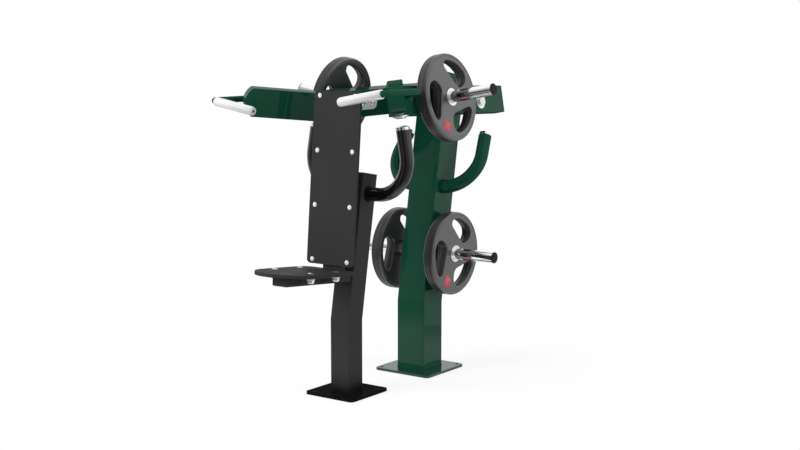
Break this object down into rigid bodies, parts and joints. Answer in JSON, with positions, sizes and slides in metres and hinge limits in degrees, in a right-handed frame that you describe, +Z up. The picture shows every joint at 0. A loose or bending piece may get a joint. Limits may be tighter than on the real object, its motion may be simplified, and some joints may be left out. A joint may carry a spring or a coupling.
{
  "type": "outdoor shoulder press",
  "caption": "Outdoor shoulder press: tilted seat and backrest, pivoting box-section arms with turning grips, and rubber discs on loading and storage horns.",
  "frame": {"origin": "on the ground, under the middle of the seat post", "axes": "+Z up, +Y from the seat post back to the main post, +X to the arm at the right of the picture"},
  "size_m": [1.0618, 1.4317, 1.4615],
  "materials": {
    "green_paint": "gloss powder coat",
    "black_paint": "gloss powder coat",
    "panel_board": "fine matte texture",
    "steel": "satin",
    "chrome": "polished",
    "black_plastic": "satin",
    "disc_rubber": "matte"
  },
  "bodies": {
    "frame": {"seat_base_plate": "black_paint", "seat_post": "black_paint", "seat_post_cap": "black_paint", "seat_support": "black_paint", "seat_straps": "black_paint", "seat_board": "panel_board", "seat_bolts": "steel", "seat_nuts": "steel", "backrest_panel": "panel_board", "backrest_straps": "black_paint", "backrest_spine": "black_paint", "backrest_brackets": "black_paint", "backrest_bolts": "steel", "backrest_nuts": "steel", "front_stop_tubes": "black_paint", "front_stop_caps": "steel", "main_base_plate": "green_paint", "main_post": "green_paint", "main_post_cap": "green_paint", "rear_stop_tubes": "green_paint", "rear_stop_caps": "steel", "pivot_bosses": "green_paint", "pivot_axles": "steel", "pivot_caps": "steel", "storage_horns": "chrome", "storage_horn_collars": "steel", "storage_horn_caps": "black_plastic"},
    "right_arm": {"right_arm_tube": "green_paint", "right_arm_hub": "green_paint", "right_arm_bearings": "steel", "right_arm_bumper": "steel", "right_arm_horn": "chrome", "right_arm_horn_collar": "steel", "right_arm_horn_cap": "black_plastic", "right_arm_horn_plate": "steel", "right_arm_horn_bolts": "steel", "right_handle": "green_paint", "right_grip_retainer": "steel"},
    "right_grip": {"right_grip": "steel"},
    "right_arm_disc": {"right_arm_disc": "disc_rubber", "right_arm_disc_hub": "steel"},
    "right_stored_disc": {"right_stored_disc": "disc_rubber", "right_stored_disc_hub": "steel"},
    "left_arm": {"left_arm_tube": "green_paint", "left_arm_hub": "green_paint", "left_arm_bearings": "steel", "left_arm_bumper": "steel", "left_arm_horn": "chrome", "left_arm_horn_collar": "steel", "left_arm_horn_cap": "black_plastic", "left_arm_horn_plate": "steel", "left_arm_horn_bolts": "steel", "left_handle": "green_paint", "left_grip_retainer": "steel"},
    "left_grip": {"left_grip": "steel"},
    "left_arm_disc": {"left_arm_disc": "disc_rubber", "left_arm_disc_hub": "steel"},
    "left_stored_disc": {"left_stored_disc": "disc_rubber", "left_stored_disc_hub": "steel"}
  },
  "joints": [
    {"name": "right_arm_swing", "type": "hinge", "parent": "frame", "child": "right_arm", "pos_m": [0.19401, 0.70802, 1.23823], "axis": [-0.9848, 0, -0.1736], "range_deg": [-2.75, 43.95]},
    {"name": "right_grip_turn", "type": "hinge", "parent": "right_arm", "child": "right_grip", "pos_m": [0.32007, -0.31963, 1.28923], "axis": [0.9848, 0, 0.1736], "continuous": true},
    {"name": "right_arm_disc_slide", "type": "slide", "parent": "right_arm", "child": "right_arm_disc", "axis": [0.9848, 0, 0.1736], "range_m": [0, 0.21]},
    {"name": "right_stored_disc_slide", "type": "slide", "parent": "frame", "child": "right_stored_disc", "axis": [1, 0, 0], "range_m": [0, 0.205]},
    {"name": "left_arm_swing", "type": "hinge", "parent": "frame", "child": "left_arm", "pos_m": [-0.19401, 0.70802, 1.23823], "axis": [-0.9848, 0, 0.1736], "range_deg": [0, 46.7]},
    {"name": "left_grip_turn", "type": "hinge", "parent": "left_arm", "child": "left_grip", "pos_m": [-0.32863, -0.31981, 1.24064], "axis": [-0.9848, 0, 0.1736], "continuous": true},
    {"name": "left_arm_disc_slide", "type": "slide", "parent": "left_arm", "child": "left_arm_disc", "axis": [-0.9848, 0, 0.1736], "range_m": [0, 0.21]},
    {"name": "left_stored_disc_slide", "type": "slide", "parent": "frame", "child": "left_stored_disc", "axis": [-1, 0, 0], "range_m": [0, 0.205]}
  ]
}
